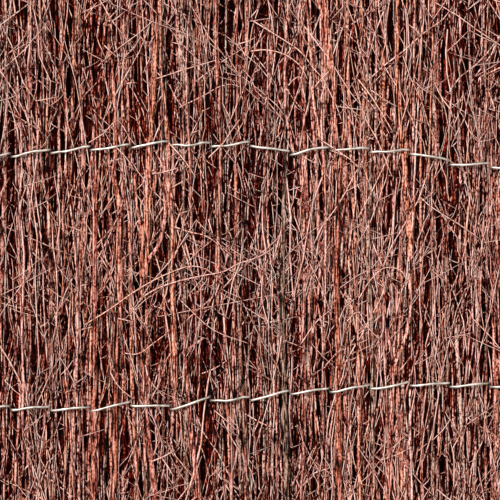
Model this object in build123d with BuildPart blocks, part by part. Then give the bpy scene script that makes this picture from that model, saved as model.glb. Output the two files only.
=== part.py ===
from build123d import *
import math
import os
from random import Random

# A cut length of heather screening: bundles of heather stems stand side by side,
# and each row of binding has two galvanised wires, one in front of a bundle and one
# behind it, which change places by half a twist in the gap before the next bundle.
# It stands on its cut edge, with its length along X, its front towards -Y and +Z up.

# Screen
screen_height = 1000.0
bundle_count = 24
bundle_pitch = 20.0
bundle_depth = 14.0
top_raggedness = 50.0

# Stems
butt_diameter = 5.4
tip_diameter = 3.6
branch_diameter = 3.8
stem_spacing = 4.6
nesting = 1.6

# Binding wires
wire_diameter = 1.2
wire_gap = 0.2
seat_gap = 0.3
twist_half_width = 1.0
tail_length = 15.0

# Rows of binding
row_pitch = 120.0
edge_margin = 140.0
row_wander = 6.0
wander_length = 400.0
first_row_phase = 136.0
row_phase_step = 112.0

# Flat sides of the round sections
stem_sides = 5
wire_sides = 4

# Habit of the stems, as shares of a stem's height or of the room across a bundle
lowest_bend = 0.35
highest_bend = 0.65
sideways_play = 0.15
upturned_share = 0.2
branch_root = 0.03

# A few lays of stems serve every bundle, each turned and mirrored in four ways
lay_count = 6

half_depth = bundle_depth / 2
wire_radius = wire_diameter / 2
wire_line = half_depth + seat_gap + wire_radius
wire_lift = (wire_diameter + wire_gap) / 2
row_count = int((screen_height - 2 * edge_margin) / row_pitch + 0.01) + 1


def layer_y(layer, radius):
    """Y of a stem against the front wires (-1), in the middle (0) or against the back wires (1)."""
    return layer * (half_depth - radius)


def reach(y, radius):
    """How far from the middle of its bundle a stem can stand and still clear the twisted wires."""
    slant = math.hypot(twist_half_width, wire_line)
    clearance = (radius + wire_radius + seat_gap) * slant / wire_line
    return bundle_pitch / 2 - abs(y) * twist_half_width / wire_line - clearance


def spot(rng, layer, share, radius):
    """Centre of a stem, whose share of the bundle's width runs from -1 to 1."""
    y = layer_y(layer, radius)
    play = rng.uniform(-sideways_play, sideways_play)
    return reach(y, radius) * (share * (1 - sideways_play) + play), y


def stem_radii(rng, layer):
    """Radii at the foot, the bend and the top of a stem."""
    radii = [butt_diameter / 2, (butt_diameter + tip_diameter) / 4, tip_diameter / 2]
    if layer == 0:
        # A middle stem fills the room that the outer ones leave, and presses into them
        return [half_depth - 2 * radius + nesting for radius in radii]
    if rng.random() < upturned_share:
        radii.reverse()
    return radii


def shoot(heights, spots, radii, turn):
    """One tapered length of wood, straight from each section to the next."""
    with BuildPart() as length:
        for z, centre, radius in zip(heights, spots, radii):
            with BuildSketch(Plane.XY.offset(z)):
                with Locations(centre):
                    RegularPolygon(radius, stem_sides, rotation=turn)
        loft(ruled=True)
    return length.part


def single_stem(rng, layer, share, top):
    """A stem with one bend between its foot and its top."""
    heights = [0, top * rng.uniform(lowest_bend, highest_bend), top]
    radii = stem_radii(rng, layer)
    spots = [spot(rng, layer, share, radius) for radius in radii]
    return [shoot(heights, spots, radii, rng.uniform(0, 360))]


def forked_stem(rng, layer, shares, tops):
    """A stem whose two branches rise from one butt, rooted inside it below the fork."""
    fork = min(tops) * rng.uniform(lowest_bend, highest_bend)
    root = fork - min(tops) * branch_root
    turn = rng.uniform(0, 360)
    butt_radius = butt_diameter / 2
    branch_radius = branch_diameter / 2
    middle = sum(shares) / len(shares)
    foot = spot(rng, layer, middle, butt_radius)
    crotch = (reach(layer_y(layer, butt_radius), butt_radius) * middle, layer_y(layer, butt_radius))
    lengths = [shoot([0, fork], [foot, crotch], [butt_radius, butt_radius], turn)]
    for share, top in zip(shares, tops):
        tip = spot(rng, layer, share, branch_radius)
        lengths.append(shoot([root, top], [crotch, tip], [branch_radius, branch_radius], turn))
    return lengths


def lay_of_stems(seed):
    """The stems of one bundle, three layers deep, grown together where they press on each other."""
    rng = Random(seed)
    outer_reach = reach(layer_y(1, butt_diameter / 2), butt_diameter / 2)
    column_count = max(3, round(2 * outer_reach / stem_spacing) + 1)
    shares = [2 * column / (column_count - 1) - 1 for column in range(column_count)]
    lengths = []
    for layer in (-1, 0, 1):
        tops = [screen_height - rng.uniform(0, top_raggedness) for _ in shares]
        if layer == 0:
            tops[0] = screen_height
        singles = list(zip(shares, tops))
        if layer == -1:
            lengths += forked_stem(rng, layer, shares[:2], tops[:2])
            singles = singles[2:]
        for share, top in singles:
            lengths += single_stem(rng, layer, share, top)
    with BuildPart() as lay:
        add(lengths)
    return lay.part


def gap_x(gap):
    """X of the gap before bundle number gap, counted from 0 at the left end."""
    return (gap - bundle_count / 2) * bundle_pitch


def row_z(row, x):
    """Height of a row of binding, which wanders up and down along the screen."""
    phase = math.radians(first_row_phase + row * row_phase_step)
    return edge_margin + row * row_pitch + row_wander * math.sin(2 * math.pi * x / wander_length + phase)


def wire_route(row, side):
    """Corners of a wire that starts in front (-1) or behind (1) and changes sides at each gap.

    Going to the back it passes over the other wire, and coming to the front it passes under it.
    """
    corners = []
    for gap in range(bundle_count + 1):
        x = gap_x(gap)
        z = row_z(row, x) - side * wire_lift
        if gap == 0:
            corners.append((x - tail_length, 0, z))
        else:
            corners.append((x - twist_half_width, side * wire_line, z))
        side = -side
        if gap == bundle_count:
            corners.append((x + tail_length, 0, z))
        else:
            corners.append((x + twist_half_width, side * wire_line, z))
    return corners


os.makedirs("parts", exist_ok=True)

# Bundles
lays = [lay_of_stems(seed) for seed in range(lay_count)]
for number in range(bundle_count):
    placing = number // lay_count + number
    source = lays[number % lay_count]
    if placing % 2:
        source = mirror(source, about=Plane.YZ, mode=Mode.PRIVATE)
    with BuildPart() as bundle:
        with Locations((gap_x(number) + bundle_pitch / 2, 0)):
            add(source, rotation=(0, 0, 180 * (placing // 2 % 2)))
    bundle.part.label = f"bundle_{number + 1:02d}"
    export_step(bundle.part, f"parts/{bundle.part.label}.step")

# Binding wires
for row in range(row_count):
    for letter, side in (("a", -1), ("b", 1)):
        with BuildPart() as wire:
            with BuildLine():
                route = Polyline(*wire_route(row, side))
            with BuildSketch(Plane(origin=route @ 0, z_dir=route % 0)):
                RegularPolygon(wire_radius, wire_sides)
            sweep(path=route, transition=Transition.RIGHT)
        wire.part.label = f"binding_wire_{row + 1}{letter}"
        export_step(wire.part, f"parts/{wire.part.label}.step")
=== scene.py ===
import math
import bpy
import numpy as np
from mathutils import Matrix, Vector


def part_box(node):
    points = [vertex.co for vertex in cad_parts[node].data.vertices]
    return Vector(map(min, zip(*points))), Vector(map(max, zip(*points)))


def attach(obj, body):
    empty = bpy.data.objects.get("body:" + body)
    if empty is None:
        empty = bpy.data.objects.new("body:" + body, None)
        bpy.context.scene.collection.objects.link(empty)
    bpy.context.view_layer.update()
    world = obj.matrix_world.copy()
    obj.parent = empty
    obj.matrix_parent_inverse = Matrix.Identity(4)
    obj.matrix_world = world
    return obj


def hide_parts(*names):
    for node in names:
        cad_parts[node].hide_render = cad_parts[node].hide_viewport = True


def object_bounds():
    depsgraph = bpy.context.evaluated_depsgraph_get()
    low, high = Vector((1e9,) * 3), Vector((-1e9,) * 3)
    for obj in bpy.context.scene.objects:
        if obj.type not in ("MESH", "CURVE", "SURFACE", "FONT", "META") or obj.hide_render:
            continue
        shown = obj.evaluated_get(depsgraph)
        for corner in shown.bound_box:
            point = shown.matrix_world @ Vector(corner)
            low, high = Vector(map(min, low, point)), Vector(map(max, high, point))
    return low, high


# A length of heather screening, dressed around its bundles and binding wires.
# Lengths are in millimetres until a mesh is made.

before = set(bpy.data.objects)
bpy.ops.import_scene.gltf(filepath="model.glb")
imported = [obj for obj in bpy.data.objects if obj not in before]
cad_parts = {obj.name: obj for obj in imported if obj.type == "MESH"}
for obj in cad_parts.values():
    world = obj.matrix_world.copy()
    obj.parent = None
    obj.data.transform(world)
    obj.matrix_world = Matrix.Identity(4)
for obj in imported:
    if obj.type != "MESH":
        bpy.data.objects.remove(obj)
cad_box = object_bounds()

MM = 0.001


def middle_x(node):
    """X of the middle of a CAD node."""
    low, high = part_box(node)
    return (low[0] + high[0]) / 2 / MM


# The screen, read from the frame
BUNDLES = sorted(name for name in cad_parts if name.startswith("bundle_"))
PITCH = round(middle_x(BUNDLES[1]) - middle_x(BUNDLES[0]))
HALF_LENGTH = len(BUNDLES) * PITCH / 2
SCREEN_TOP = cad_box[1][2] / MM

# Wire: its radius, how far it stands off the middle in depth, and how far above and below its fellow
WIRE_RADIUS = 0.6
WIRE_LINE = 7.9
WIRE_LIFT = 0.95

# Rows of binding: each wanders up and down along the screen, from a phase in degrees
ROW_COUNT = 7
ROW_PITCH = 120.0
EDGE_MARGIN = 140.0
ROW_WANDER = 6.0
WANDER_LENGTH = 400.0
FIRST_ROW_PHASE = 136.0
ROW_PHASE_STEP = 112.0

# The photograph's frame, with the ground far below it, and the camera
PHOTO_SIDE_PX = 500
MM_PER_PX = 0.5
PHOTO_CENTRE_Z = 453.5
GROUND_PX = PHOTO_SIDE_PX / 2 + PHOTO_CENTRE_Z / MM_PER_PX
CAMERA_DISTANCE = 1000.0
SENSOR_MM = 36.0


def at_pixels(points):
    """X and Z of points given in the photograph's pixels."""
    pixels = np.array(points, float)
    x = (pixels[:, 0] - PHOTO_SIDE_PX / 2) * MM_PER_PX
    z = PHOTO_CENTRE_Z + (PHOTO_SIDE_PX / 2 - pixels[:, 1]) * MM_PER_PX
    return x, z


def in_pixels(x, z):
    """The photograph's pixels at x and z."""
    return PHOTO_SIDE_PX / 2 + x / MM_PER_PX, PHOTO_SIDE_PX / 2 - (z - PHOTO_CENTRE_Z) / MM_PER_PX


def row_z(row, x):
    """Height of a row of binding at x."""
    phase = np.radians(FIRST_ROW_PHASE + row * ROW_PHASE_STEP)
    return EDGE_MARGIN + row * ROW_PITCH + ROW_WANDER * np.sin(2 * np.pi * x / WANDER_LENGTH + phase)


# How a row of binding squeezes the stems: across a bundle only beside the twist, in depth more gently.
# It also rounds the corners of a bundle, beside the gaps.
WIDTH_PINCH_REACH = 6.0
DEPTH_PINCH_REACH = 18.0
BULGE_HALF_WIDTH = 10.8
PINCHED_HALF_WIDTH = 9.8
BULGE_HALF_DEPTH = 8.4
PINCHED_HALF_DEPTH = 7.0
CORNER_ROUNDING = 0.35
CORNER_TIGHTNESS = 4


def squeeze(x, z, pinch_reach):
    """1 at a row of binding, falling to 0 between the rows."""
    pinch = np.zeros(np.broadcast(x, z).shape)
    for row in range(ROW_COUNT):
        pinch += np.exp(-((z - row_z(row, x)) / pinch_reach) ** 2)
    return np.minimum(pinch, 1.0)


def half_depth(x, z):
    """How deep the screen is from its middle to its face."""
    pinch = squeeze(x, z, DEPTH_PINCH_REACH)
    # 0 in the middle of a bundle and 1 in the gaps beside it
    aside = np.abs((x / PITCH) % 1 - 0.5) * 2
    face = BULGE_HALF_DEPTH + (PINCHED_HALF_DEPTH - BULGE_HALF_DEPTH) * pinch
    return face * (1 - CORNER_ROUNDING * aside ** CORNER_TIGHTNESS * pinch)


def in_bundle(centre_x, u, v, z, radius, even):
    """Places points of a twig whose shares u and v of the bundle's width and depth run from -1 to 1."""
    pinch = 0 if even else squeeze(centre_x, z, WIDTH_PINCH_REACH)
    half_width = BULGE_HALF_WIDTH + (PINCHED_HALF_WIDTH - BULGE_HALF_WIDTH) * pinch
    x = centre_x + u * (half_width - radius)
    y = np.clip(v, -1, 1) * (half_depth(x, z) - radius)
    return np.stack([x, y, z], axis=-1)


# How much of its slope a twig keeps from one step to the next, and how much new slope it takes on
SLOPE_KEPT = 0.85
SLOPE_TAKEN_ON = 0.5


def meander(rng, count, points, sweep, kink):
    """Side steps along each twig, zero on average: slow sweeps with sharp little kinks at its nodes."""
    slopes = rng.normal(size=(count, points))
    for i in range(1, points):
        slopes[:, i] = SLOPE_KEPT * slopes[:, i - 1] + SLOPE_TAKEN_ON * slopes[:, i]
    walk = np.cumsum(slopes, axis=1) * sweep + rng.normal(size=(count, points)) * kink
    return walk - walk.mean(axis=1, keepdims=True)


DEPTH_AXIS = np.array([0.0, 1.0, 0.0])


class Wood:
    """Collects round lengths of wood or wire and makes one mesh of them."""

    def __init__(self):
        self.points = []
        self.loops = []
        self.loop_counts = []
        self.tones = []
        self.hues = []
        self.total = 0

    def add(self, paths, radii, sides, turns, tones, hues):
        """Adds tubes: paths (n, rings, 3), radii (n, rings), turn, tone and hue one for each tube."""
        count, rings = radii.shape
        if count == 0:
            return
        along = np.gradient(paths, axis=1)
        along /= np.linalg.norm(along, axis=2, keepdims=True)
        across = np.cross(along, DEPTH_AXIS)
        across /= np.linalg.norm(across, axis=2, keepdims=True)
        outward = np.cross(across, along)
        angles = 2 * np.pi * np.arange(sides) / sides + turns[:, None]
        cos, sin = np.cos(angles), np.sin(angles)
        ring = (
            paths[:, :, None, :]
            + (radii[:, :, None] * cos[:, None, :])[..., None] * across[:, :, None, :]
            + (radii[:, :, None] * sin[:, None, :])[..., None] * outward[:, :, None, :]
        )
        # Feet are cut level with the ground
        ring[..., 2] = np.maximum(ring[..., 2], 0.0)
        index = np.arange(count * rings * sides).reshape(count, rings, sides) + self.total
        following = np.roll(index, -1, axis=2)
        quads = np.stack([index[:, :-1], following[:, :-1], following[:, 1:], index[:, 1:]], axis=-1)
        feet = index[:, 0, ::-1]
        tips = index[:, -1, :]
        self.points.append(ring.reshape(-1, 3))
        self.loops += [quads.ravel(), feet.ravel(), tips.ravel()]
        self.loop_counts += [np.full(quads.size // 4, 4), np.full(2 * count, sides)]
        self.tones.append(np.repeat(tones, rings * sides))
        self.hues.append(np.repeat(hues, rings * sides))
        self.total += count * rings * sides

    def add_one(self, path, radii, sides, tone=1.0, hue=0.0):
        """Adds a single tube."""
        self.add(path[None], radii[None], sides, np.zeros(1), np.array([tone]), np.array([hue]))

    def mesh(self, name):
        """The closed mesh of all the lengths, in metres, with what their bark depends on as attributes,
        among them the share of depth that paints shade on the inner wood.
        """
        points = np.concatenate(self.points) * MM
        loops = np.concatenate(self.loops)
        counts = np.concatenate(self.loop_counts)
        mesh = bpy.data.meshes.new(name)
        mesh.vertices.add(len(points))
        mesh.vertices.foreach_set("co", points.ravel())
        mesh.loops.add(len(loops))
        mesh.loops.foreach_set("vertex_index", loops.astype(np.int32))
        mesh.polygons.add(len(counts))
        starts = np.concatenate([[0], np.cumsum(counts)[:-1]])
        mesh.polygons.foreach_set("loop_start", starts.astype(np.int32))
        mesh.update(calc_edges=True)
        mesh.polygons.foreach_set("use_smooth", np.ones(len(counts), bool))
        x, y, z = np.concatenate(self.points).T
        attributes = {
            "tone": np.concatenate(self.tones),
            "hue": np.concatenate(self.hues),
            # Share of the screen's depth, which paints shade on the inner wood
            "outward": np.abs(y) / half_depth(x, z),
        }
        for attribute, values in attributes.items():
            layer = mesh.attributes.new(attribute, "FLOAT", "POINT")
            layer.data.foreach_set("value", values.astype(np.float32))
        return mesh


# Dark hollows between the outer twigs of the photograph: left, top, right and bottom in pixels
HOLLOWS = (
    (84, 0, 98, 29), (84, 57, 97, 80), (130, 16, 138, 32), (127, 86, 136, 124), (168, 4, 174, 74),
    (167, 84, 173, 138), (206, 84, 212, 130), (290, 10, 295, 37), (290, 52, 299, 94), (292, 98, 303, 130),
    (307, 100, 312, 131), (333, 5, 338, 25), (334, 77, 338, 106), (403, 81, 408, 110), (292, 175, 299, 200),
    (250, 184, 256, 234), (174, 168, 180, 202), (210, 172, 221, 195), (218, 209, 225, 229),
    (239, 188, 246, 213), (118, 218, 123, 231), (84, 260, 89, 281), (153, 252, 163, 271),
    (163, 233, 168, 250), (209, 254, 214, 271), (100, 292, 104, 306), (229, 302, 233, 313),
    (245, 297, 249, 313), (117, 320, 125, 378), (291, 313, 300, 356), (250, 346, 255, 365),
    (344, 262, 349, 296), (365, 266, 370, 294), (326, 330, 330, 384), (367, 361, 370, 384),
    (404, 346, 410, 370), (157, 341, 161, 355), (213, 347, 217, 373), (122, 416, 131, 465),
    (169, 414, 178, 443), (210, 414, 214, 449), (91, 463, 97, 486),
)
# How much of its depth a twig gives up in a hollow, how far the hollow fades out beyond its sides and its
# ends in pixels, and how steeply
HOLLOW_DIP = 0.7
HOLLOW_FADE_ASIDE = 1
HOLLOW_FADE_ALONG = 3
HOLLOW_STEEPNESS = 4


def hollow(x, z):
    """1 inside a hollow, falling to 0 a little way outside it."""
    px, py = in_pixels(x, z)
    dip = np.zeros(x.shape)
    for left, top, right, bottom in HOLLOWS:
        aside = np.abs(px - (left + right) / 2) / ((right - left) / 2 + HOLLOW_FADE_ASIDE)
        along = np.abs(py - (top + bottom) / 2) / ((bottom - top) / 2 + HOLLOW_FADE_ALONG)
        inside = (1 - aside ** HOLLOW_STEEPNESS).clip(0, 1) * (1 - along ** HOLLOW_STEEPNESS).clip(0, 1)
        dip = np.maximum(dip, inside)
    return dip


# Families of wood in a bundle: how many, radius, length, rings and sides of each tube, the depths that they
# lie at, whether they stand evenly side by side, how much they taper, how many stand on their heads, how far
# they drift, sweep and kink as shares of the bundle's half width, how pale and red they are, and how many
# forks and shoots each has
FRONT, UNDER_FRONT, BACK = (-1.0, -0.6), (-0.75, -0.45), (0.5, 1.0)
FAMILIES = (
    # The core of thick straight stems, darkest in tone: partly their own old bark, partly painted shade in
    # the middle of the bundle
    dict(count=8, radius=(2.0, 2.6), length=(1500, 2000), rings=9, sides=6,
         depth=((-0.2, 0.2),), even=True, taper=0.4, upturned=0.5,
         drift=0.03, sweep=0.004, kink=0.0, tone=(0.0, 0.2), hue=(0.2, 0.9), forks=0, shoots=0),
    # Stout stems with forks
    dict(count=6, radius=(1.2, 2.2), length=(300, 700), rings=20, sides=7,
         depth=((-0.8, -0.5), (-0.8, -0.5), (0.5, 0.8)), even=False, taper=0.85, upturned=0.05,
         drift=0.7, sweep=0.022, kink=0.02, tone=(0.15, 0.42), hue=(0.0, 1.0), forks=2, shoots=3),
    # Leaning stems
    dict(count=40, radius=(0.75, 1.4), length=(160, 420), rings=8, sides=5,
         depth=((-0.8, -0.6), (-0.8, -0.6), (0.6, 0.8)), even=False, taper=0.7, upturned=0.2,
         drift=1.8, sweep=0.06, kink=0.03, tone=(0.2, 0.45), hue=(0.0, 1.0), forks=0, shoots=0),
    # Branches with side shoots
    dict(count=22, radius=(0.55, 1.0), length=(180, 420), rings=16, sides=4,
         depth=((-1.0, -0.4), (-1.0, -0.4), (0.4, 1.0)), even=False, taper=0.8, upturned=0.12,
         drift=1.5, sweep=0.06, kink=0.07, tone=(0.25, 0.65), hue=(0.1, 1.0), forks=1, shoots=5),
    # Thin twigs, the most of the mass
    dict(count=264, radius=(0.3, 0.54), length=(50, 170), rings=8, sides=3,
         depth=(FRONT, FRONT, UNDER_FRONT, UNDER_FRONT, BACK, BACK), even=False, taper=0.6, upturned=0.25,
         drift=2.8, sweep=0.08, kink=0.1, tone=(0.35, 0.85), hue=(0.15, 1.0), forks=0, shoots=2),
    # Short loose twiglets on the faces
    dict(count=160, radius=(0.28, 0.44), length=(14, 60), rings=6, sides=3,
         depth=((-1.0, -0.8), (-1.0, -0.8), (0.8, 1.0)), even=False, taper=0.5, upturned=0.3,
         drift=3.0, sweep=0.14, kink=0.08, tone=(0.5, 0.9), hue=(0.2, 1.0), forks=0, shoots=1),
)
# How far the tops fall short of the highest one, and how much rarer low ones are
RAGGEDNESS = 50.0
RAGGED_FALL = 1.5
# Tries for each twig, because those that spill over are left out
TRIES_PER_TWIG = 3
# How much of a twig's length the ground may cut off, how much at least lies below the top, and the least
# length that stays
MOST_CUT_OFF = 0.6
LEAST_BELOW_TOP = 0.3
SHORTEST_TWIG = 20.0
# How far beyond its bundle a twig may start, may lie where it passes a row of binding, and may reach past
# the end of the screen
START_REACH = 1.05
SPILL_AT_ROW = 0.05
SPILL_AT_END = 9.0
# How uneven a twig's girth is, and how many times less it sweeps in depth than across
UNEVEN_GIRTH = 0.12
CALMER_IN_DEPTH = 3

# Forks leave a stem at a small angle and turn up beside it, and side shoots stand off at a slant: their
# length, their radius as a share of the stem's and the least it is, rings and sides, slant in degrees, how
# far they turn up, stand off and pass the face, and how much paler they are than the stem
FORK = dict(length=(50, 150), radius=(0.45, 0.75), least=0.3, rings=8, sides=4, slant=(8, 26), turn_up=0.75,
            stand_off=0.03, proud=0.0, paler=0.08)
SHOOT = dict(length=(4, 22), radius=(0.4, 0.85), least=0.26, rings=3, sides=3, slant=(18, 80), turn_up=0.4,
             stand_off=0.12, proud=0.8, paler=0.15)
# Only twigs this far from the middle have them. Each turns up by some of its habit, sweeps and kinks in
# millimetres, thins out, and ends within the screen's height.
OUTER_DEPTH = 3.0
OFFSHOOT_TURNS = (0.2, 1.0)
OFFSHOOT_SWEEP = 0.15
OFFSHOOT_KINK = 0.1
OFFSHOOT_TAPER = 0.5
LOWEST_OFFSHOOT = 0.5
HIGHEST_OFFSHOOT = SCREEN_TOP - 1.0


def family_of_twigs(rng, wood, centre_x, family, paler, redder):
    """Lays one family of twigs through a bundle and grows their forks and shoots."""
    wanted, rings, even = family["count"], family["rings"], family["even"]
    tries = wanted if even else TRIES_PER_TWIG * wanted
    length = rng.uniform(*family["length"], tries)
    foot = rng.uniform(-MOST_CUT_OFF * length, SCREEN_TOP - LEAST_BELOW_TOP * length)
    top = SCREEN_TOP - RAGGEDNESS * rng.random(tries) ** RAGGED_FALL
    start = np.maximum(foot, 0.0)
    end = np.minimum(foot + length, top)
    # One twig to each slice of the width, a little thicker towards the edges, where more tries spill over
    slices = rng.permuted(np.tile(np.arange(wanted), (tries // wanted, 1)), axis=1).ravel()
    places = 2 * (slices + rng.random(tries)) / wanted - 1
    places = (places + np.sin(np.pi / 2 * places)) / 2 * START_REACH
    if even:
        start, end = np.zeros(tries), top - RAGGEDNESS / 2
        places = np.linspace(-1, 1, tries)
    share = np.linspace(0, 1, rings)
    z = start[:, None] + share * (end - start)[:, None]
    drift = rng.normal(size=tries)[:, None] * family["drift"] * (share - 0.5)
    u = places[:, None] + drift + meander(rng, tries, rings, family["sweep"], family["kink"])
    # Between the rows a twig may lie over the next bundle, but it passes each row within its own
    spill = ((np.abs(u) - 1) * squeeze(centre_x, z, DEPTH_PINCH_REACH)).max(axis=1)
    depths = np.array(family["depth"])[rng.integers(len(family["depth"]), size=tries)]
    past_end = np.abs(centre_x + u * BULGE_HALF_WIDTH).max(axis=1) > HALF_LENGTH + SPILL_AT_END
    fits = (spill < SPILL_AT_ROW) & ~past_end & (end - start > SHORTEST_TWIG)
    kept = np.arange(tries) if even else np.flatnonzero(fits)[:wanted]
    count = len(kept)
    z, u, depths = z[kept], u[kept], depths[kept]
    radius = rng.uniform(*family["radius"], count)
    taper = 1 - family["taper"] * share ** 2
    upturned = rng.random(count) < family["upturned"]
    girth = 1 + UNEVEN_GIRTH * rng.normal(size=(count, rings)).clip(-1, 1)
    radii = radius[:, None] * np.where(upturned[:, None], taper[::-1], taper) * girth
    v = rng.uniform(depths[:, 0], depths[:, 1])[:, None]
    v = v + meander(rng, count, rings, family["sweep"] / CALMER_IN_DEPTH, 0)
    dip = hollow(centre_x + u * BULGE_HALF_WIDTH, z)
    v = np.where(v < 0, v * (1 - HOLLOW_DIP * dip), v)
    paths = in_bundle(centre_x, u, v, z, radii, even)
    tones = np.clip(rng.uniform(*family["tone"], count) + paler, 0, 1)
    hues = np.clip(rng.uniform(*family["hue"], count) + redder, 0, 1)
    wood.add(paths, radii, family["sides"], rng.uniform(0, 2 * np.pi, count), tones, hues)
    offshoots(rng, wood, paths, radii, tones, hues, family["forks"], FORK)
    offshoots(rng, wood, paths, radii, tones, hues, family["shoots"], SHOOT)


def offshoots(rng, wood, paths, radii, tones, hues, per_twig, habit):
    """Offshoots of the outer twigs, rooted in them."""
    outer = np.abs(paths[:, :, 1]).mean(axis=1) > OUTER_DEPTH
    twigs = np.repeat(np.flatnonzero(outer), per_twig)
    count = len(twigs)
    if count == 0:
        return
    ring = rng.integers(0, paths.shape[1] - 1, count)
    root = paths[twigs, ring]
    along = paths[twigs, ring + 1] - root
    along /= np.linalg.norm(along, axis=1, keepdims=True)
    facing = np.sign(root[:, 1])
    slant = np.radians(rng.uniform(*habit["slant"], count))
    sideways = rng.choice((-1.0, 1.0), count)
    aside = sideways * np.sin(slant)
    off = facing * rng.uniform(-habit["stand_off"], habit["stand_off"], count)
    aim = along * np.cos(slant)[:, None] + np.stack([aside, off, np.zeros(count)], axis=1)
    length = rng.uniform(*habit["length"], count)
    share = np.linspace(0, 1, habit["rings"])
    path = root[:, None] + aim[:, None] * (length[:, None] * share)[..., None]
    turn_up = habit["turn_up"] * rng.uniform(*OFFSHOOT_TURNS, count) * aside * length
    path[:, :, 0] -= turn_up[:, None] * share ** 2
    path[:, :, 0] += meander(rng, count, habit["rings"], OFFSHOOT_SWEEP, OFFSHOOT_KINK) * (share > 0)
    path[:, :, 0] = np.clip(path[:, :, 0], -HALF_LENGTH - SPILL_AT_END, HALF_LENGTH + SPILL_AT_END)
    path[:, :, 2] = np.clip(path[:, :, 2], LOWEST_OFFSHOOT, HIGHEST_OFFSHOOT)
    stout = np.maximum(rng.uniform(*habit["radius"], count) * radii[twigs, ring], habit["least"])
    thin = stout[:, None] * (1 - OFFSHOOT_TAPER * share)
    face = half_depth(path[:, :, 0], path[:, :, 2]) + habit["proud"] - thin
    path[:, :, 1] = facing[:, None] * np.minimum(np.abs(path[:, :, 1]), face)
    paler = np.clip(tones[twigs] + habit["paler"], 0, 1)
    wood.add(path, thin, habit["sides"], rng.uniform(0, 2 * np.pi, count), paler, hues[twigs])


# Twigs and stems laid one by one

# Long thin twigs that lie across the face in the photograph: their run in pixels and the radius they seem
# to have there
LOOSE_TWIGS = (
    (((84, 325), (110, 309), (131, 294), (158, 278), (174, 271), (191, 266), (206, 269), (216, 277),
      (225, 287)), 0.5),
    (((139, 299), (158, 288), (175, 282), (200, 276), (227, 270), (237, 264), (250, 260), (264, 254),
      (277, 245)), 0.5),
    (((172, 226), (190, 232), (203, 235), (214, 241), (221, 248), (228, 257)), 0.5),
    (((208, 218), (214, 236), (222, 247), (234, 257)), 0.45),
    (((155, 79), (190, 68), (220, 59)), 0.4),
    (((195, 82), (222, 62), (250, 44)), 0.35),
    (((178, 108), (205, 95), (222, 86), (235, 85), (245, 91)), 0.4),
    (((250, 19), (271, 32), (285, 41), (297, 49), (305, 57), (313, 68), (322, 78), (330, 93), (338, 110),
      (342, 122)), 0.5),
    (((250, 51), (265, 50), (285, 55), (300, 66), (308, 80)), 0.45),
    (((358, 79), (372, 98), (382, 114), (393, 132)), 0.55),
    (((358, 90), (374, 108), (384, 124), (391, 137)), 0.4),
    (((288, 86), (292, 81), (299, 77), (303, 90), (306, 104)), 0.5),
    (((286, 88), (294, 100), (304, 112)), 0.45),
    (((314, 88), (322, 78), (329, 71), (333, 62)), 0.45),
    (((371, 90), (379, 96), (386, 102)), 0.4),
    (((380, 108), (386, 104), (391, 100)), 0.35),
    (((363, 135), (372, 139), (382, 141)), 0.4),
    (((152, 173), (161, 173), (170, 169)), 0.5),
    (((165, 232), (169, 237), (172, 241)), 0.4),
    (((117, 318), (126, 320), (134, 322)), 0.45),
    (((147, 305), (154, 306), (164, 310), (170, 317)), 0.4),
    (((126, 84), (131, 83), (137, 83)), 0.5),
    (((104, 45), (110, 51), (117, 57)), 0.45),
    (((102, 26), (111, 17), (119, 8)), 0.45),
    (((84, 20), (90, 12), (97, 2)), 0.4),
    (((123, 353), (136, 354), (155, 342), (170, 331)), 0.45),
    (((201, 374), (215, 368), (228, 360)), 0.5),
    (((145, 364), (150, 380), (158, 390), (166, 399)), 0.55),
    (((150, 462), (162, 457), (175, 450)), 0.6),
    (((162, 458), (169, 468), (174, 477)), 0.6),
    (((110, 372), (118, 385), (134, 400)), 0.5),
    (((214, 410), (226, 420), (236, 430)), 0.45),
    (((321, 140), (345, 156), (362, 169)), 0.45),
    (((330, 150), (348, 158), (362, 172)), 0.4),
    (((114, 145), (128, 160), (134, 170)), 0.4),
    (((152, 174), (168, 171), (184, 166)), 0.55),
    (((168, 142), (184, 160), (196, 178)), 0.55),
    (((172, 178), (184, 165), (190, 170)), 0.45),
    (((208, 158), (224, 142), (232, 130), (240, 119)), 0.45),
    (((88, 143), (104, 133), (117, 121), (130, 138), (136, 146)), 0.4),
    (((302, 244), (316, 258), (325, 302)), 0.4),
    (((309, 262), (320, 285), (332, 318)), 0.4),
    (((358, 300), (372, 278), (384, 268), (400, 270), (409, 285)), 0.45),
    (((346, 322), (358, 312), (366, 325), (380, 340)), 0.4),
    (((300, 345), (318, 320), (336, 306)), 0.5),
    (((325, 366), (340, 350), (346, 346)), 0.45),
    (((180, 300), (214, 330), (250, 344)), 0.35),
    (((270, 330), (262, 300), (264, 262)), 0.4),
    (((96, 262), (112, 230), (124, 196), (126, 170)), 0.4),
    (((206, 330), (214, 300), (226, 262), (230, 240)), 0.45),
)
# Their girth without the photograph's blur, how far from the middle their ends are rooted and the rest
# lies, how soon they rise, and how they look
LOOSE_TWIG_GIRTH = 0.9
LOOSE_TWIG_ROOT = 6.6
LOOSE_TWIG_DEPTH = 9.2
LOOSE_TWIG_RISE = 0.5
LOOSE_TWIG_TAPER = 0.4
LOOSE_TWIG_SIDES = 4
LOOSE_TWIG_TONE = (0.62, 0.85)
LOOSE_TWIG_HUE = (0.5, 0.95)
LOOSE_TWIG_SEED = 7

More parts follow.
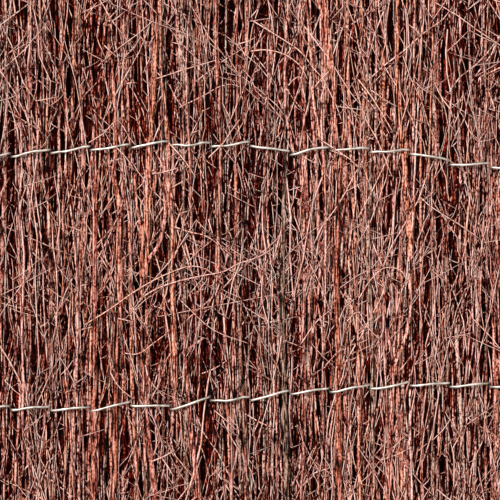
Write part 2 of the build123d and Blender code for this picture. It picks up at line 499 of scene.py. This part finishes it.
# Stout stems that show in the photograph: their run in pixels upwards, the longest from the ground, radius
# at the foot and the top, tone and hue
STOUT_STEMS = (
    (((120, GROUND_PX), (118, 800), (114, 500), (115, 440), (118, 300)), 2.9, 1.2, 0.5, 0.75),
    (((170, GROUND_PX), (166, 800), (156, 500), (146, 415), (141, 330)), 2.7, 1.1, 0.6, 0.6),
    (((212, GROUND_PX), (206, 800), (199, 500), (190, 420), (184, 330)), 2.9, 1.1, 0.6, 0.55),
    (((290, GROUND_PX), (289, 800), (288, 520), (283, 355), (282, 300), (284, 200), (285, 100)),
      2.6, 1.2, 0.45, 0.0),
    (((344, GROUND_PX), (342, 800), (339, 480), (339, 376), (337, 313), (337, 240), (342, 140)),
      3.4, 1.2, 0.5, 0.8),
    (((411, 270), (408, 210), (405, 165), (403, 140), (400, 110), (397, 60), (398, 5), (400, -60)),
      1.8, 1.0, 0.65, 0.95),
    (((142, 300), (142, 262), (142, 238), (145, 222), (150, 203), (155, 182), (157, 150)),
      1.5, 0.9, 0.65, 0.95),
    (((142, 242), (139, 217), (136, 198), (134, 170)), 0.9, 0.6, 0.7, 0.9),
    (((326, 230), (321, 148), (318, 127), (313, 95), (312, 63), (309, 37), (305, 0), (303, -60)),
      1.0, 0.6, 0.8, 0.85),
    (((297, 180), (291, 138), (286, 116), (285, 85), (285, 53), (288, 0), (289, -60)),
      0.9, 0.6, 0.75, 0.35),
    (((335, 90), (331, 50), (326, 27), (318, 0), (311, -40)), 0.9, 0.6, 0.75, 0.85),
    (((140, 290), (147, 262), (158, 246), (164, 222), (165, 195), (163, 150)), 1.2, 0.9, 0.7, 0.55),
    (((176, 400), (173, 300), (172, 227), (169, 195), (168, 145), (160, 60)), 1.6, 0.9, 0.7, 0.85),
    (((121, 330), (119, 240), (119, 200), (114, 179), (115, 148), (112, 60)), 1.9, 1.1, 0.65, 0.8),
    (((94, GROUND_PX), (94, 800), (94, 420), (95, 237), (95, 174), (99, 80)), 2.3, 1.2, 0.5, 0.6),
    (((146, 280), (148, 180), (150, 137), (153, 100), (157, 10)), 2.0, 1.1, 0.65, 0.9),
    (((362, GROUND_PX), (361, 800), (359, 440), (359, 382), (357, 334), (352, 240)), 2.2, 0.8, 0.7, 0.9),
    (((394, GROUND_PX), (393, 800), (391, 430), (393, 366), (391, 352), (386, 323), (383, 250)),
      2.6, 0.8, 0.65, 0.7),
    (((392, 384), (396, 363), (407, 332), (410, 308), (410, 276), (415, 190)), 1.1, 0.7, 0.85, 0.85),
    (((250, GROUND_PX), (249, 800), (246, 540), (245, 430), (240, 360), (244, 260)), 2.6, 1.0, 0.45, 0.2),
    (((217, 320), (219, 200), (221, 140), (217, 60), (213, -60)), 1.6, 1.0, 0.55, 0.3),
    (((336, 180), (333, 90), (327, 40), (330, -90)), 1.7, 1.1, 0.65, 0.7),
    (((373, 470), (372, 330), (368, 250), (371, 180), (368, 80)), 1.5, 0.8, 0.55, 0.1),
)
# Their faces lie at this share of the screen's depth. Their ends are rounded over the last part of their
# length, to a share of their girth. A foot below this height stands on the ground and keeps its girth.
STOUT_STEM_DEPTH = 1.0
STOUT_STEM_SIDES = 10
TIP_SHARE = 0.12
TIP_GIRTH = 0.2
STANDING_HEIGHT = 1.0

# Knots on those stems: place in pixels, radius, height, tone and hue
KNOTS = (
    ((404, 148), 3.3, 17.0, 0.65, 0.95),
    ((142, 236), 2.0, 9.0, 0.6, 0.9),
    ((393, 370), 2.2, 12.0, 0.65, 0.8),
)
# Girth at a knot's ends as a share of its middle, and the height and rate of the ripples along it
KNOT_END_GIRTH = 0.3
KNOT_RIPPLE = 0.08
KNOT_RIPPLE_RATE = 23

# Old bark is this much darker than the tones of these stems and knots
OLD_BARK = 0.32
HAND_LAID_RINGS = 26


def smooth_run(points, rings):
    """Evenly spaced points on a smooth line through a few chosen ones."""
    points = np.stack(points, axis=1)
    steps = np.linalg.norm(np.diff(points, axis=0), axis=1)
    along = np.append(0, np.cumsum(steps))
    heading = np.gradient(points, along, axis=0)
    place = np.linspace(0, along[-1], rings)
    first = np.clip(np.searchsorted(along, place, side="right") - 1, 0, len(steps) - 1)
    span = steps[first][:, None]
    t = (place - along[first])[:, None] / span
    lead = (2 * t ** 3 - 3 * t ** 2 + 1) * points[first] + (t ** 3 - 2 * t ** 2 + t) * span * heading[first]
    follow = (3 * t ** 2 - 2 * t ** 3) * points[first + 1] + (t ** 3 - t ** 2) * span * heading[first + 1]
    return lead + follow


def rounded_end(share):
    """Girth of a stem near its end, as share rises from 0 at the end itself."""
    return np.minimum(1, TIP_GIRTH + (1 - TIP_GIRTH) * share / TIP_SHARE)


def loose_twigs():
    """The long twigs across the face, rooted in the mass at both ends and clear of the wires between."""
    wood = Wood()
    rng = np.random.default_rng(LOOSE_TWIG_SEED)
    share = np.linspace(0, 1, HAND_LAID_RINGS)
    rise = np.sin(np.pi * share) ** LOOSE_TWIG_RISE
    y = -LOOSE_TWIG_ROOT - (LOOSE_TWIG_DEPTH - LOOSE_TWIG_ROOT) * rise
    for points, radius in LOOSE_TWIGS:
        x, z = smooth_run(at_pixels(points), HAND_LAID_RINGS).T
        radii = LOOSE_TWIG_GIRTH * radius * (1 - LOOSE_TWIG_TAPER * share)
        tone, hue = rng.uniform(*LOOSE_TWIG_TONE), rng.uniform(*LOOSE_TWIG_HUE)
        wood.add_one(np.stack([x, y, z], axis=1), radii, LOOSE_TWIG_SIDES, tone, hue)
    return wood.mesh("loose_twigs")


def stout_stems():
    """The stout stems that show most, pressed behind the front wires."""
    wood = Wood()
    share = np.linspace(0, 1, HAND_LAID_RINGS)
    for points, foot_radius, top_radius, tone, hue in STOUT_STEMS:
        x, z = smooth_run(at_pixels(points), HAND_LAID_RINGS).T
        radii = np.linspace(foot_radius, top_radius, HAND_LAID_RINGS) * rounded_end(1 - share)
        if z[0] > STANDING_HEIGHT:
            radii *= rounded_end(share)
        y = radii - STOUT_STEM_DEPTH * half_depth(x, z)
        wood.add_one(np.stack([x, y, z], axis=1), radii, STOUT_STEM_SIDES, tone - OLD_BARK, hue)
    for place, radius, height, tone, hue in KNOTS:
        x, z = at_pixels([place])
        bulge = KNOT_END_GIRTH + (1 - KNOT_END_GIRTH) * np.sin(np.pi * share)
        radii = radius * bulge * (1 + KNOT_RIPPLE * np.sin(KNOT_RIPPLE_RATE * share))
        y = radii.max() - half_depth(x, z)
        path = np.stack(np.broadcast_arrays(x, y, z + height * (share - 0.5)), axis=1)
        wood.add_one(path, radii, STOUT_STEM_SIDES, tone - OLD_BARK, hue)
    return wood.mesh("stout_stems")


# Materials

# Marks of the bark, as their width and how many times longer they are up the stem: fibres, drawn coarser
# than they are to show, lenticels and leaf scars, and flakes of loose bark
FIBRE = (0.7, 14)
SCAR = (0.8, 1.6)
FLAKE = (3, 3)
# Width of the clouds on dulled zinc
CLOUD = 4


def linear(code):
    """A hex sRGB colour as the linear values that a shader takes."""
    channels = [int(code[i:i + 2], 16) / 255 for i in (1, 3, 5)]
    return [c / 12.92 if c <= 0.04045 else ((c + 0.055) / 1.055) ** 2.4 for c in channels] + [1.0]


def add_node(tree, kind, inputs=None, stops=(), **settings):
    """Adds a node with its settings, its inputs as values or as links from sockets, and a ramp's stops."""
    node = tree.nodes.new(kind)
    for name, value in settings.items():
        setattr(node, name, value)
    for name, value in (inputs or {}).items():
        if isinstance(value, bpy.types.Node):
            value = next(socket for socket in value.outputs if socket.enabled)
        if isinstance(value, bpy.types.NodeSocket):
            tree.links.new(value, node.inputs[name])
        else:
            node.inputs[name].default_value = value
    for number, (position, code) in enumerate(stops):
        if number > 1:
            node.color_ramp.elements.new(1.0)
        node.color_ramp.elements[number].position = position
        node.color_ramp.elements[number].color = linear(code)
    return node


def heather_bark():
    """Dry heather bark: thin, fibrous and matt, from dark brown through brick red to pale fox brown, with
    painted shade on its flanks and inner wood.
    """
    material = bpy.data.materials.new("heather_bark")
    material.use_nodes = True
    tree = material.node_tree
    tree.nodes.clear()
    # Each twig's tone, which for the core is partly painted shade
    twig_tone = add_node(tree, "ShaderNodeAttribute", attribute_name="tone").outputs["Fac"]
    hue = add_node(tree, "ShaderNodeAttribute", attribute_name="hue").outputs["Fac"]
    outward = add_node(tree, "ShaderNodeAttribute", attribute_name="outward").outputs["Fac"]
    place = add_node(tree, "ShaderNodeTexCoord").outputs["Object"]

    marks = []
    for width, stretch in (FIBRE, SCAR, FLAKE):
        up_stem = add_node(tree, "ShaderNodeMapping", {"Vector": place, "Scale": (1.0, 1.0, 1 / stretch)})
        marks.append(add_node(tree, "ShaderNodeTexNoise", {
            "Vector": up_stem, "Scale": 1 / (width * MM), "Detail": 2.0}))
    fibre, scar, flake = marks

    # Each fibre and scar of the bark is a little paler or darker than its neighbours
    fibre_tone = add_node(tree, "ShaderNodeMapRange", {
        "Value": fibre, "From Min": 0.38, "From Max": 0.62, "To Min": -0.28, "To Max": 0.34})
    scar_tone = add_node(tree, "ShaderNodeMapRange", {
        "Value": scar, "From Min": 0.38, "From Max": 0.62, "To Min": -0.14, "To Max": 0.14})
    bark_tone = add_node(tree, "ShaderNodeMath", {0: fibre_tone, 1: scar_tone}, operation="ADD")
    tone = add_node(tree, "ShaderNodeMath", {0: twig_tone, 1: bark_tone}, operation="ADD")

    # Each twig has its own age: grey and weathered, brick red, or fox brown where the bark is young
    grey = add_node(tree, "ShaderNodeValToRGB", {"Fac": tone},
                    ((0.0, "#1E100A"), (0.3, "#826452"), (0.65, "#BCA698"), (1.0, "#E0CEC4")))
    red = add_node(tree, "ShaderNodeValToRGB", {"Fac": tone},
                   ((0.0, "#2C0E08"), (0.3, "#9E4E3C"), (0.65, "#D8A092"), (1.0, "#F8D0C6")))
    fox = add_node(tree, "ShaderNodeValToRGB", {"Fac": tone},
                   ((0.0, "#2C1006"), (0.3, "#A6583C"), (0.65, "#E0A286"), (1.0, "#FAD0BE")))
    # Bark flakes off in patches that show the redder wood beneath
    flaking = add_node(tree, "ShaderNodeMapRange", {
        "Value": flake, "From Min": 0.35, "From Max": 0.65, "To Min": -0.15, "To Max": 0.15})
    patchy = add_node(tree, "ShaderNodeMath", {0: hue, 1: flaking}, operation="ADD")
    reddish = add_node(tree, "ShaderNodeMapRange", {"Value": patchy, "From Min": 0.0, "From Max": 0.4})
    foxy = add_node(tree, "ShaderNodeMapRange", {"Value": patchy, "From Min": 0.65, "From Max": 1.0})
    cool = add_node(tree, "ShaderNodeMix", {"Factor": reddish, "A": grey, "B": red}, data_type="RGBA")
    warm = add_node(tree, "ShaderNodeMix", {"Factor": foxy, "A": cool, "B": fox}, data_type="RGBA")

    # Painted light and shade: faces turned to the front or back are painted paler and flanks darker, and
    # inner wood is painted dark as shade, by its share of the screen's depth
    geometry = add_node(tree, "ShaderNodeNewGeometry")
    normal = add_node(tree, "ShaderNodeSeparateXYZ", {"Vector": geometry.outputs["Normal"]})
    facing = add_node(tree, "ShaderNodeMath", {0: normal.outputs["Y"]}, operation="ABSOLUTE")
    # Painted highlight and shade: the more a face turns to the front or back, the paler it is painted, and
    # flanks are painted dark
    painted_face_light = add_node(tree, "ShaderNodeMapRange", {
        "Value": facing, "From Min": 0.35, "From Max": 0.9, "To Min": 0.0, "To Max": 1.05})
    # Painted shade: the nearer the middle of the screen's depth, the darker the wood
    painted_inner_shade = add_node(tree, "ShaderNodeMapRange", {
        "Value": outward, "From Min": 0.48, "From Max": 0.9, "To Min": 0.12, "To Max": 1.1})
    lit = add_node(tree, "ShaderNodeMath", {0: painted_face_light, 1: painted_inner_shade}, operation="MULTIPLY")

    # Dirt and old bark stay in the furrows between fibres, in scars and under flakes
    streaked = add_node(tree, "ShaderNodeMapRange", {
        "Value": fibre, "From Min": 0.42, "From Max": 0.56, "To Min": 0.0, "To Max": 1.8})
    scarred = add_node(tree, "ShaderNodeMapRange", {
        "Value": scar, "From Min": 0.4, "From Max": 0.52, "To Min": 0.15, "To Max": 1.4})
    flaked = add_node(tree, "ShaderNodeMapRange", {
        "Value": flake, "From Min": 0.35, "From Max": 0.65, "To Min": 0.9, "To Max": 1.15})
    furrowed = add_node(tree, "ShaderNodeMath", {0: streaked, 1: scarred}, operation="MULTIPLY")
    rugged = add_node(tree, "ShaderNodeMath", {0: furrowed, 1: flaked}, operation="MULTIPLY")
    # The youngest twigs, which are the palest, still have smooth bark
    young = add_node(tree, "ShaderNodeMapRange", {"Value": twig_tone, "From Min": 0.65, "From Max": 0.85})
    worn = add_node(tree, "ShaderNodeMix", {"Factor": young, "A": rugged, "B": 1.2}, data_type="FLOAT")
    # The painted light and shade and the dirt in the furrows together set how dark the bark is; the dark
    # stops are a deep red, painted for light bounced between the twigs in shade
    strength = add_node(tree, "ShaderNodeMath", {0: lit, 1: worn}, operation="MULTIPLY")
    painted_shade_and_furrows = add_node(tree, "ShaderNodeValToRGB", {"Fac": strength},
                        ((0.0, "#3C0602"), (0.12, "#6A0E04"), (0.21, "#8C2412"),
                         (0.28, "#BC6450"), (0.36, "#F4C0AE"), (0.45, "#FFFAF8")))
    shade = add_node(tree, "ShaderNodeVectorMath", {0: warm, 1: painted_shade_and_furrows}, operation="MULTIPLY")

    rough = add_node(tree, "ShaderNodeMapRange", {"Value": fibre, "To Min": 0.7, "To Max": 0.95})
    bump = add_node(tree, "ShaderNodeBump", {"Height": fibre, "Strength": 0.8, "Distance": 0.4 * MM})
    surface = add_node(tree, "ShaderNodeBsdfPrincipled", {
        "Base Color": shade, "Roughness": rough, "Normal": bump, "IOR": 1.45, "Specular IOR Level": 0.08})
    add_node(tree, "ShaderNodeOutputMaterial", {"Surface": surface})
    return material


def galvanised_wire():
    """Hot-dipped zinc on drawn steel wire: bright but slightly dulled, with faint clouds of carbonate."""
    material = bpy.data.materials.new("galvanised_wire")
    material.use_nodes = True
    tree = material.node_tree
    tree.nodes.clear()
    place = add_node(tree, "ShaderNodeTexCoord").outputs["Object"]
    cloud = add_node(tree, "ShaderNodeTexNoise", {"Vector": place, "Scale": 1 / (CLOUD * MM), "Detail": 3.0})
    colour = add_node(tree, "ShaderNodeValToRGB", {"Fac": cloud},
                      ((0.3, "#8E847A"), (0.5, "#BEB6AC"), (0.7, "#E4DCD2")))
    rough = add_node(tree, "ShaderNodeMapRange", {"Value": cloud, "To Min": 0.4, "To Max": 0.6})
    bump = add_node(tree, "ShaderNodeBump", {"Height": cloud, "Strength": 0.15, "Distance": 0.05 * MM})
    surface = add_node(tree, "ShaderNodeBsdfPrincipled", {
        "Base Color": colour, "Metallic": 1.0, "Roughness": rough, "Normal": bump})
    add_node(tree, "ShaderNodeOutputMaterial", {"Surface": surface})
    return material


def studio_board():
    """Matt painted studio board."""
    material = bpy.data.materials.new("studio_board")
    material.use_nodes = True
    surface = material.node_tree.nodes["Principled BSDF"]
    surface.inputs["Base Color"].default_value = linear("#ECEBE8")
    surface.inputs["Roughness"].default_value = 0.9
    return material


BARK = heather_bark()
ZINC = galvanised_wire()


def add_piece(mesh, material, slot, *nodes):
    """Shows a mesh as a piece, which may stand for CAD nodes."""
    piece = bpy.data.objects.new(mesh.name, mesh)
    bpy.context.scene.collection.objects.link(piece)
    mesh.materials.append(material)
    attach(piece, "root")
    if nodes:
        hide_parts(*nodes)


# Bundles

# Each bundle is cut from plants of its own: how much paler and redder they are, for those that show in the
# photograph, by their number from the left end, counted from 0, and how much the others differ
PLANTS_SEEN = {8: (0.0, 0.05), 9: (0.0, 0.05), 10: (0.0, 0.0), 11: (-0.01, -0.12), 12: (-0.01, -0.15),
               13: (0.0, -0.05), 14: (0.05, 0.12), 15: (0.05, 0.18)}
PLANTS_DIFFER = (0.02, 0.1)
TWIG_SEED = 1000
PLANT_SEED = 500

for number, node in enumerate(BUNDLES):
    rng = np.random.default_rng(TWIG_SEED + number)
    plants = np.random.default_rng(PLANT_SEED + number).normal(size=2) * PLANTS_DIFFER
    paler, redder = PLANTS_SEEN.get(number, plants)
    centre_x = (number - (len(BUNDLES) - 1) / 2) * PITCH
    wood = Wood()
    for family in FAMILIES:
        family_of_twigs(rng, wood, centre_x, family, paler, redder)
    add_piece(wood.mesh(f"heather_{node}"), BARK, "heather_stems", node)
add_piece(loose_twigs(), BARK, "heather_stems")
add_piece(stout_stems(), BARK, "heather_stems")


# Binding wires

WIRE_SIDES = 6
# Steps along one bundle, closer together where the wire turns in to the gap
WIRE_STEPS = np.array([0.0, 0.015, 0.04, 0.08, 0.18, 0.4, 0.6, 0.82, 0.92, 0.96, 0.985])
# How gently a wire swings from side to side in a gap: nearer to 0, it lies flatter on the bundles
SWING = 0.14
# How far a wire strays from the even wave: at the twists, and over each bundle in a bow and in dents
UNEVENNESS = 0.5
BOW = 0.4
DENT = 0.3
DENTS_PER_BUNDLE = 3
UNEVENNESS_SEED, BOW_SEED, DENT_SEED = 50, 70, 90
# How far the twists of the two rows in the photograph, the third and fourth from the ground, sit off the
# even wave, from the second gap in from its left edge on
SAGS = {2: (1.35, -2.0, 0.85, -1.0, 0.4, -0.25, 0.15, 0.8), 3: (0.4, 1.2, 0.25, 1.2, -2.6, 1.0, 2.0, 3.1)}
FIRST_SAG_GAP = 9

# The tail of a wire, wound round its fellow: its length, the length of a turn and the radius of the turns,
# which close in to it over the first third
TAIL = 15.0
TAIL_TURN = 6.0
TAIL_RADIUS = 0.68
TAIL_CLOSING = 3
TAIL_STEPS = 16


def twisted_tail(end, side, heading):
    """The end of a wire, wound round its fellow in a pigtail."""
    along = np.linspace(1 / TAIL_STEPS, 1, TAIL_STEPS)
    angle = 2 * np.pi * TAIL / TAIL_TURN * along
    level = end[2] + side * WIRE_LIFT
    radius = WIRE_LIFT + (TAIL_RADIUS - WIRE_LIFT) * np.minimum(along * TAIL_CLOSING, 1)
    x = end[0] + heading * along * TAIL
    y = heading * side * radius * np.sin(angle)
    z = level - side * radius * np.cos(angle)
    return np.stack([x, y, z], axis=1)


def wire_path(row, side):
    """Centre line of a wire that comes to the first gap from the front (-1) or the back (1)."""
    count = len(BUNDLES)
    t = np.append((np.arange(count)[:, None] + WIRE_STEPS).ravel(), count)
    x = t * PITCH - HALF_LENGTH
    wave = np.sin(np.pi * t)
    y = -side * WIRE_LINE * np.sign(wave) * np.abs(wave) ** SWING
    sags = np.random.default_rng(UNEVENNESS_SEED + row).normal(size=count + 1) * UNEVENNESS
    if row in SAGS:
        sags[FIRST_SAG_GAP:FIRST_SAG_GAP + len(SAGS[row])] = SAGS[row]
    bows = np.random.default_rng(BOW_SEED + row).normal(size=count + 1) * BOW
    dents = np.random.default_rng(DENT_SEED + row).normal(size=count + 1) * DENT
    z = row_z(row, x) + np.interp(t, np.arange(count + 1), sags) - side * WIRE_LIFT * np.cos(np.pi * t)
    z += bows[t.astype(int)] * np.sin(np.pi * t) ** 2
    z += dents[t.astype(int)] * np.sin(DENTS_PER_BUNDLE * np.pi * t) * np.sin(np.pi * t)
    path = np.stack([x, y, z], axis=1)
    left_tail = twisted_tail(path[0], side, -1)[::-1]
    right_tail = twisted_tail(path[-1], -side * (-1) ** count, 1)
    return np.concatenate([left_tail, path, right_tail])


for row in range(ROW_COUNT):
    for letter, side in (("a", -1), ("b", 1)):
        path = wire_path(row, side)
        wire = Wood()
        wire.add_one(path, np.full(len(path), WIRE_RADIUS), WIRE_SIDES)
        add_piece(wire.mesh(f"twisted_wire_{row + 1}{letter}"), ZINC, "binding_wire",
                  f"binding_wire_{row + 1}{letter}")


# Floor, light and camera

# In metres
FLOOR_HALF = 6.0

floor_mesh = bpy.data.meshes.new("floor")
corners = [(x * FLOOR_HALF, y * FLOOR_HALF, 0) for x, y in ((-1, -1), (1, -1), (1, 1), (-1, 1))]
floor_mesh.from_pydata(corners, [], [(0, 1, 2, 3)])
floor_mesh.materials.append(studio_board())
floor = bpy.data.objects.new("floor", floor_mesh)
bpy.context.scene.collection.objects.link(floor)


def sun(name, comes_from, strength, spread):
    """A far lamp that lights the whole studio evenly, spread in degrees."""
    lamp = bpy.data.lights.new(name, "SUN")
    lamp.energy = strength
    lamp.angle = math.radians(spread)
    holder = bpy.data.objects.new(name, lamp)
    bpy.context.scene.collection.objects.link(holder)
    holder.rotation_euler = Vector(comes_from).to_track_quat("Z", "Y").to_euler()


sun("key", comes_from=(-0.55, -1.0, 0.75), strength=4.25, spread=3)
sun("fill", comes_from=(0.9, -1.0, 0.25), strength=0.25, spread=40)
sun("back", comes_from=(0.5, 1.0, 0.7), strength=3.0, spread=25)

# A white backdrop for the camera and for reflections, and a dim even light for the rest
world = bpy.data.worlds.new("studio")
bpy.context.scene.world = world
world.use_nodes = True
sky = world.node_tree
sky.nodes.clear()
ray = add_node(sky, "ShaderNodeLightPath")
mirrored = add_node(sky, "ShaderNodeMath", {
    0: ray.outputs["Is Glossy Ray"], 1: ray.outputs["Is Transmission Ray"]}, operation="MAXIMUM")
seen = add_node(sky, "ShaderNodeMath", {0: ray.outputs["Is Camera Ray"], 1: mirrored}, operation="MAXIMUM")
ambient = add_node(sky, "ShaderNodeBackground", {"Color": linear("#F4F3F0"), "Strength": 0.09})
backdrop = add_node(sky, "ShaderNodeBackground", {"Color": linear("#FFFFFF"), "Strength": 1.0})
studio_light = add_node(sky, "ShaderNodeMixShader", {"Fac": seen, 1: ambient, 2: backdrop})
add_node(sky, "ShaderNodeOutputWorld", {"Surface": studio_light})

camera = bpy.data.objects.new("camera", bpy.data.cameras.new("camera"))
bpy.context.scene.collection.objects.link(camera)
camera.location = (0, -(CAMERA_DISTANCE + WIRE_LINE) * MM, PHOTO_CENTRE_Z * MM)
camera.rotation_euler = (math.radians(90), 0, 0)
camera.data.sensor_width = SENSOR_MM
camera.data.lens = SENSOR_MM * CAMERA_DISTANCE / (PHOTO_SIDE_PX * MM_PER_PX)
bpy.context.scene.camera = camera
bpy.context.scene.view_settings.view_transform = "Standard"
